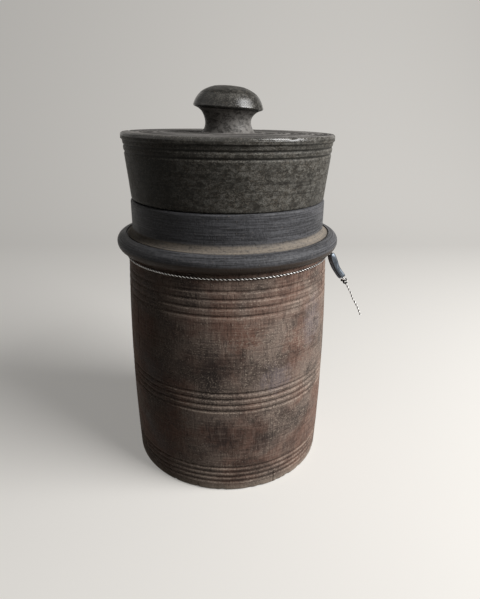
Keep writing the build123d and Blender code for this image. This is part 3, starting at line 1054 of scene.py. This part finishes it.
# Chips knocked off an upper edge: azimuth, half width and depth
def chipEdge(bm, chips, radius, height):
    for azimuth, half, depth in chips:
        angle = radians(azimuth - 90)
        at = Vector((cos(angle) * radius, sin(angle) * radius, height))
        for vert in bm.verts:
            away = (vert.co / mm - at).length / half
            if away < 1:
                share = (1 - away ** 2) * bumps(vert.co / mm, 0.9) * 1.6
                pressIn(vert, depth * share)
                vert.co.z -= depth * share * 0.8 * mm


def lean(bm, about, degrees):
    turn = Matrix.Rotation(radians(degrees), 3, "Y")
    bmesh.ops.rotate(bm, cent=Vector(about) * mm, matrix=turn, verts=bm.verts)


def makeLid():
    bm = spinOutline(lidOutline(), lid["segments"])
    ageTurned(bm, lid["skin"], lid["skinSize"], lid["spigotRadius"] + 2)
    chipEdge(bm, lid["chips"], lid["rimRadius"], lid["seat"] + lid["height"])
    lean(bm, (lid["bottomRadius"], 0, lid["seat"]), lid["tilt"])
    return finishTurned("turnedLid", bm, lidMaterial)


lidPiece = makeLid()
print("lid made,", len(lidPiece.data.polygons), "faces")

knob = {
    "base": 235.0,
    "tenonRadius": 9.0,
    "tenonLength": 9.5,
    "footRadius": 17.8,
    "waist": (15.3, 7.2),
    "underside": (20.6, 14.1),
    "rimLow": (22.8, 14.9),
    "rim": (23.1, 15.5),
    "rimHigh": (22.8, 16.5),
    "crown": ((21.0, 20.4), (18.2, 23.7), (14.2, 26.1), (9.8, 27.6), (4.6, 28.2)),
    "top": 28.3,
    "tilt": 3.2,
    "skin": 0.3,
    "skinSize": 6.0,
    "segments": 180,
    "chips": ((64.0, 2.6, 1.3), (-20.0, 2.0, 0.6), (150.0, 2.6, 1.0)),
}


def knobOutline():
    v = knob
    tenon, low = v["tenonRadius"], -v["tenonLength"]
    crown = v["crown"]
    points = (
        straight((0, low), (tenon, low), 3)
        + straight((tenon, low), (tenon, 0), 3)
        + straight((tenon, 0), (v["footRadius"], 0), 3)
        + through((v["footRadius"], 0), v["waist"], v["underside"], 16, cove=0.7)
        # The rim's underside is marked for painted shade
        + straight(v["underside"], v["rimLow"], 0.5, cut=0.6)
        + through(v["rimLow"], v["rim"], v["rimHigh"], 5, rub=1.0)
        + through(v["rimHigh"], crown[0], crown[1], 6, rub=0.55)
        + through(crown[1], crown[2], crown[3], 8, rub=0.1)
        + through(crown[3], crown[4], (0, v["top"]), 6)
        + [(0, v["top"], {})]
    )
    return [(r, z + v["base"], marks) for r, z, marks in points]


def makeKnob():
    v = knob
    bm = spinOutline(knobOutline(), v["segments"])
    ageTurned(bm, v["skin"], v["skinSize"], v["tenonRadius"] + 1)
    chipEdge(bm, v["chips"], v["rim"][0], v["base"] + v["rimLow"][1])
    # The stem is bent a little, so that the head leans more than the lid
    pivot = Vector((0, 0, (v["base"] + v["rim"][1]) * mm))
    for vert in bm.verts:
        rise = (vert.co.z / mm - v["base"] - 3) / (v["underside"][1] - 3)
        rise = max(0.0, min(1.0, rise))
        turn = Matrix.Rotation(radians(v["tilt"]) * rise * rise * (3 - 2 * rise), 3, "Y")
        vert.co = turn @ (vert.co - pivot) + pivot
    lean(bm, (lid["bottomRadius"], 0, lid["seat"]), lid["tilt"])
    return finishTurned("turnedKnob", bm, knobMaterial, 60)


knobPiece = makeKnob()
print("knob made,", len(knobPiece.data.polygons), "faces")

# What rides on what, and which node each piece stands for
for piece, node, slot, body in (
    (vesselPiece, "vessel", "vessel_wood", "jar"),
    (lidPiece, "lid", "lid_wood", "lid_and_knob"),
    (knobPiece, "knob", "knob_wood", "lid_and_knob"),
    (wireLoop, "seal_wire_loop", "seal_wire", "seal"),
    (wireTail, "seal_wire_tail", "seal_wire", "seal"),
    (sleevePiece, "seal_sleeve", "seal_sleeve", "seal"),
    (wireCurl, None, "seal_wire", "seal"),
):
    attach(piece, body)
    if node:
        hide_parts(node)

# Stage: a pale sweep and one large soft window on the right. The sweep looks pale to the eye and in
# reflections, and throws little light back, so the jar's left side falls away as in the photo.
stage = {
    "pale": "#d9d6d1",
    "bounce": "#464443",
    "glow": 0.38,
    "floorSize": 8.0,
    "backAt": 1.1,
    "riseRadius": 0.5,
    "backHeight": 2.2,
    "keyAzimuth": 66.0,
    "keyElevation": 35.0,
    "keyDistance": 1.1,
    "keySize": (0.7, 0.8),
    "keyPower": 16.5,
    "keyRise": 0.13,
    "daylight": "#dadcdf",
    "ambient": 0.035,
    "seenStrength": 0.9,
}


# What the eye, mirrors and glass see, as against what lights the jar
def seenRay(tree):
    seen = 0.0
    for ray in ("Is Camera Ray", "Is Glossy Ray", "Is Transmission Ray"):
        path = addNode(tree, "LightPath", output=ray)
        seen = addNode(tree, "Math", {0: seen, 1: path}, operation="MAXIMUM")
    return seen


def makeSweep():
    s = stage
    bm = bmesh.new()
    half, turn = s["floorSize"] / 2, s["backAt"] - s["riseRadius"]
    profile = [(-half, 0), (turn, 0)]
    for i in range(1, 17):
        angle = pi / 2 * i / 16
        profile.append((turn + s["riseRadius"] * sin(angle), s["riseRadius"] * (1 - cos(angle))))
    profile.append((s["backAt"], s["backHeight"]))
    corners = [bm.verts.new((-half, y, z)) for y, z in profile]
    edges = [bm.edges.new(pair) for pair in zip(corners, corners[1:])]
    wide = bmesh.ops.extrude_edge_only(bm, edges=edges)
    moved = [item for item in wide["geom"] if isinstance(item, bmesh.types.BMVert)]
    bmesh.ops.translate(bm, vec=(s["floorSize"], 0, 0), verts=moved)
    mesh = bpy.data.meshes.new("paleSweep")
    bm.to_mesh(mesh)
    bm.free()
    for polygon in mesh.polygons:
        polygon.use_smooth = True
    material, tree = newMaterial("palePaper")
    paper = addNode(tree, "BsdfDiffuse", {"Color": colour(s["pale"])})
    dim = addNode(tree, "BsdfDiffuse", {"Color": colour(s["bounce"])})
    glow = addNode(tree, "Emission", {"Color": colour(s["pale"]), "Strength": s["glow"]})
    lit = addNode(tree, "AddShader", {0: paper, 1: glow})
    mixed = addNode(tree, "MixShader", {0: seenRay(tree), 1: dim, 2: lit})
    addNode(tree, "OutputMaterial", {"Surface": mixed})
    mesh.materials.append(material)
    linkMesh("paleSweep", mesh)


def makeLights():
    s = stage
    world = bpy.data.worlds.new("softRoom")
    bpy.context.scene.world = world
    world.use_nodes = True
    tree = world.node_tree
    tree.nodes.clear()
    seen = addNode(tree, "Background", {"Color": colour(s["pale"]), "Strength": s["seenStrength"]})
    room = addNode(tree, "Background", {"Color": colour(s["daylight"]), "Strength": s["ambient"]})
    mixed = addNode(tree, "MixShader", {0: seenRay(tree), 1: room, 2: seen})
    addNode(tree, "OutputWorld", {"Surface": mixed})
    key = bpy.data.lights.new("window", "AREA")
    key.shape = "RECTANGLE"
    key.size, key.size_y = s["keySize"]
    key.energy = s["keyPower"]
    lamp = bpy.data.objects.new("window", key)
    azimuth, elevation = radians(s["keyAzimuth"]), radians(s["keyElevation"])
    toward = Vector((sin(azimuth) * cos(elevation), -cos(azimuth) * cos(elevation), sin(elevation)))
    lamp.location = toward * s["keyDistance"] + up * s["keyRise"]
    lamp.rotation_euler = toward.to_track_quat("Z", "Y").to_euler()
    bpy.context.scene.collection.objects.link(lamp)


makeSweep()
makeLights()
bpy.context.scene.view_settings.view_transform = "Standard"
print("stage and lights made")
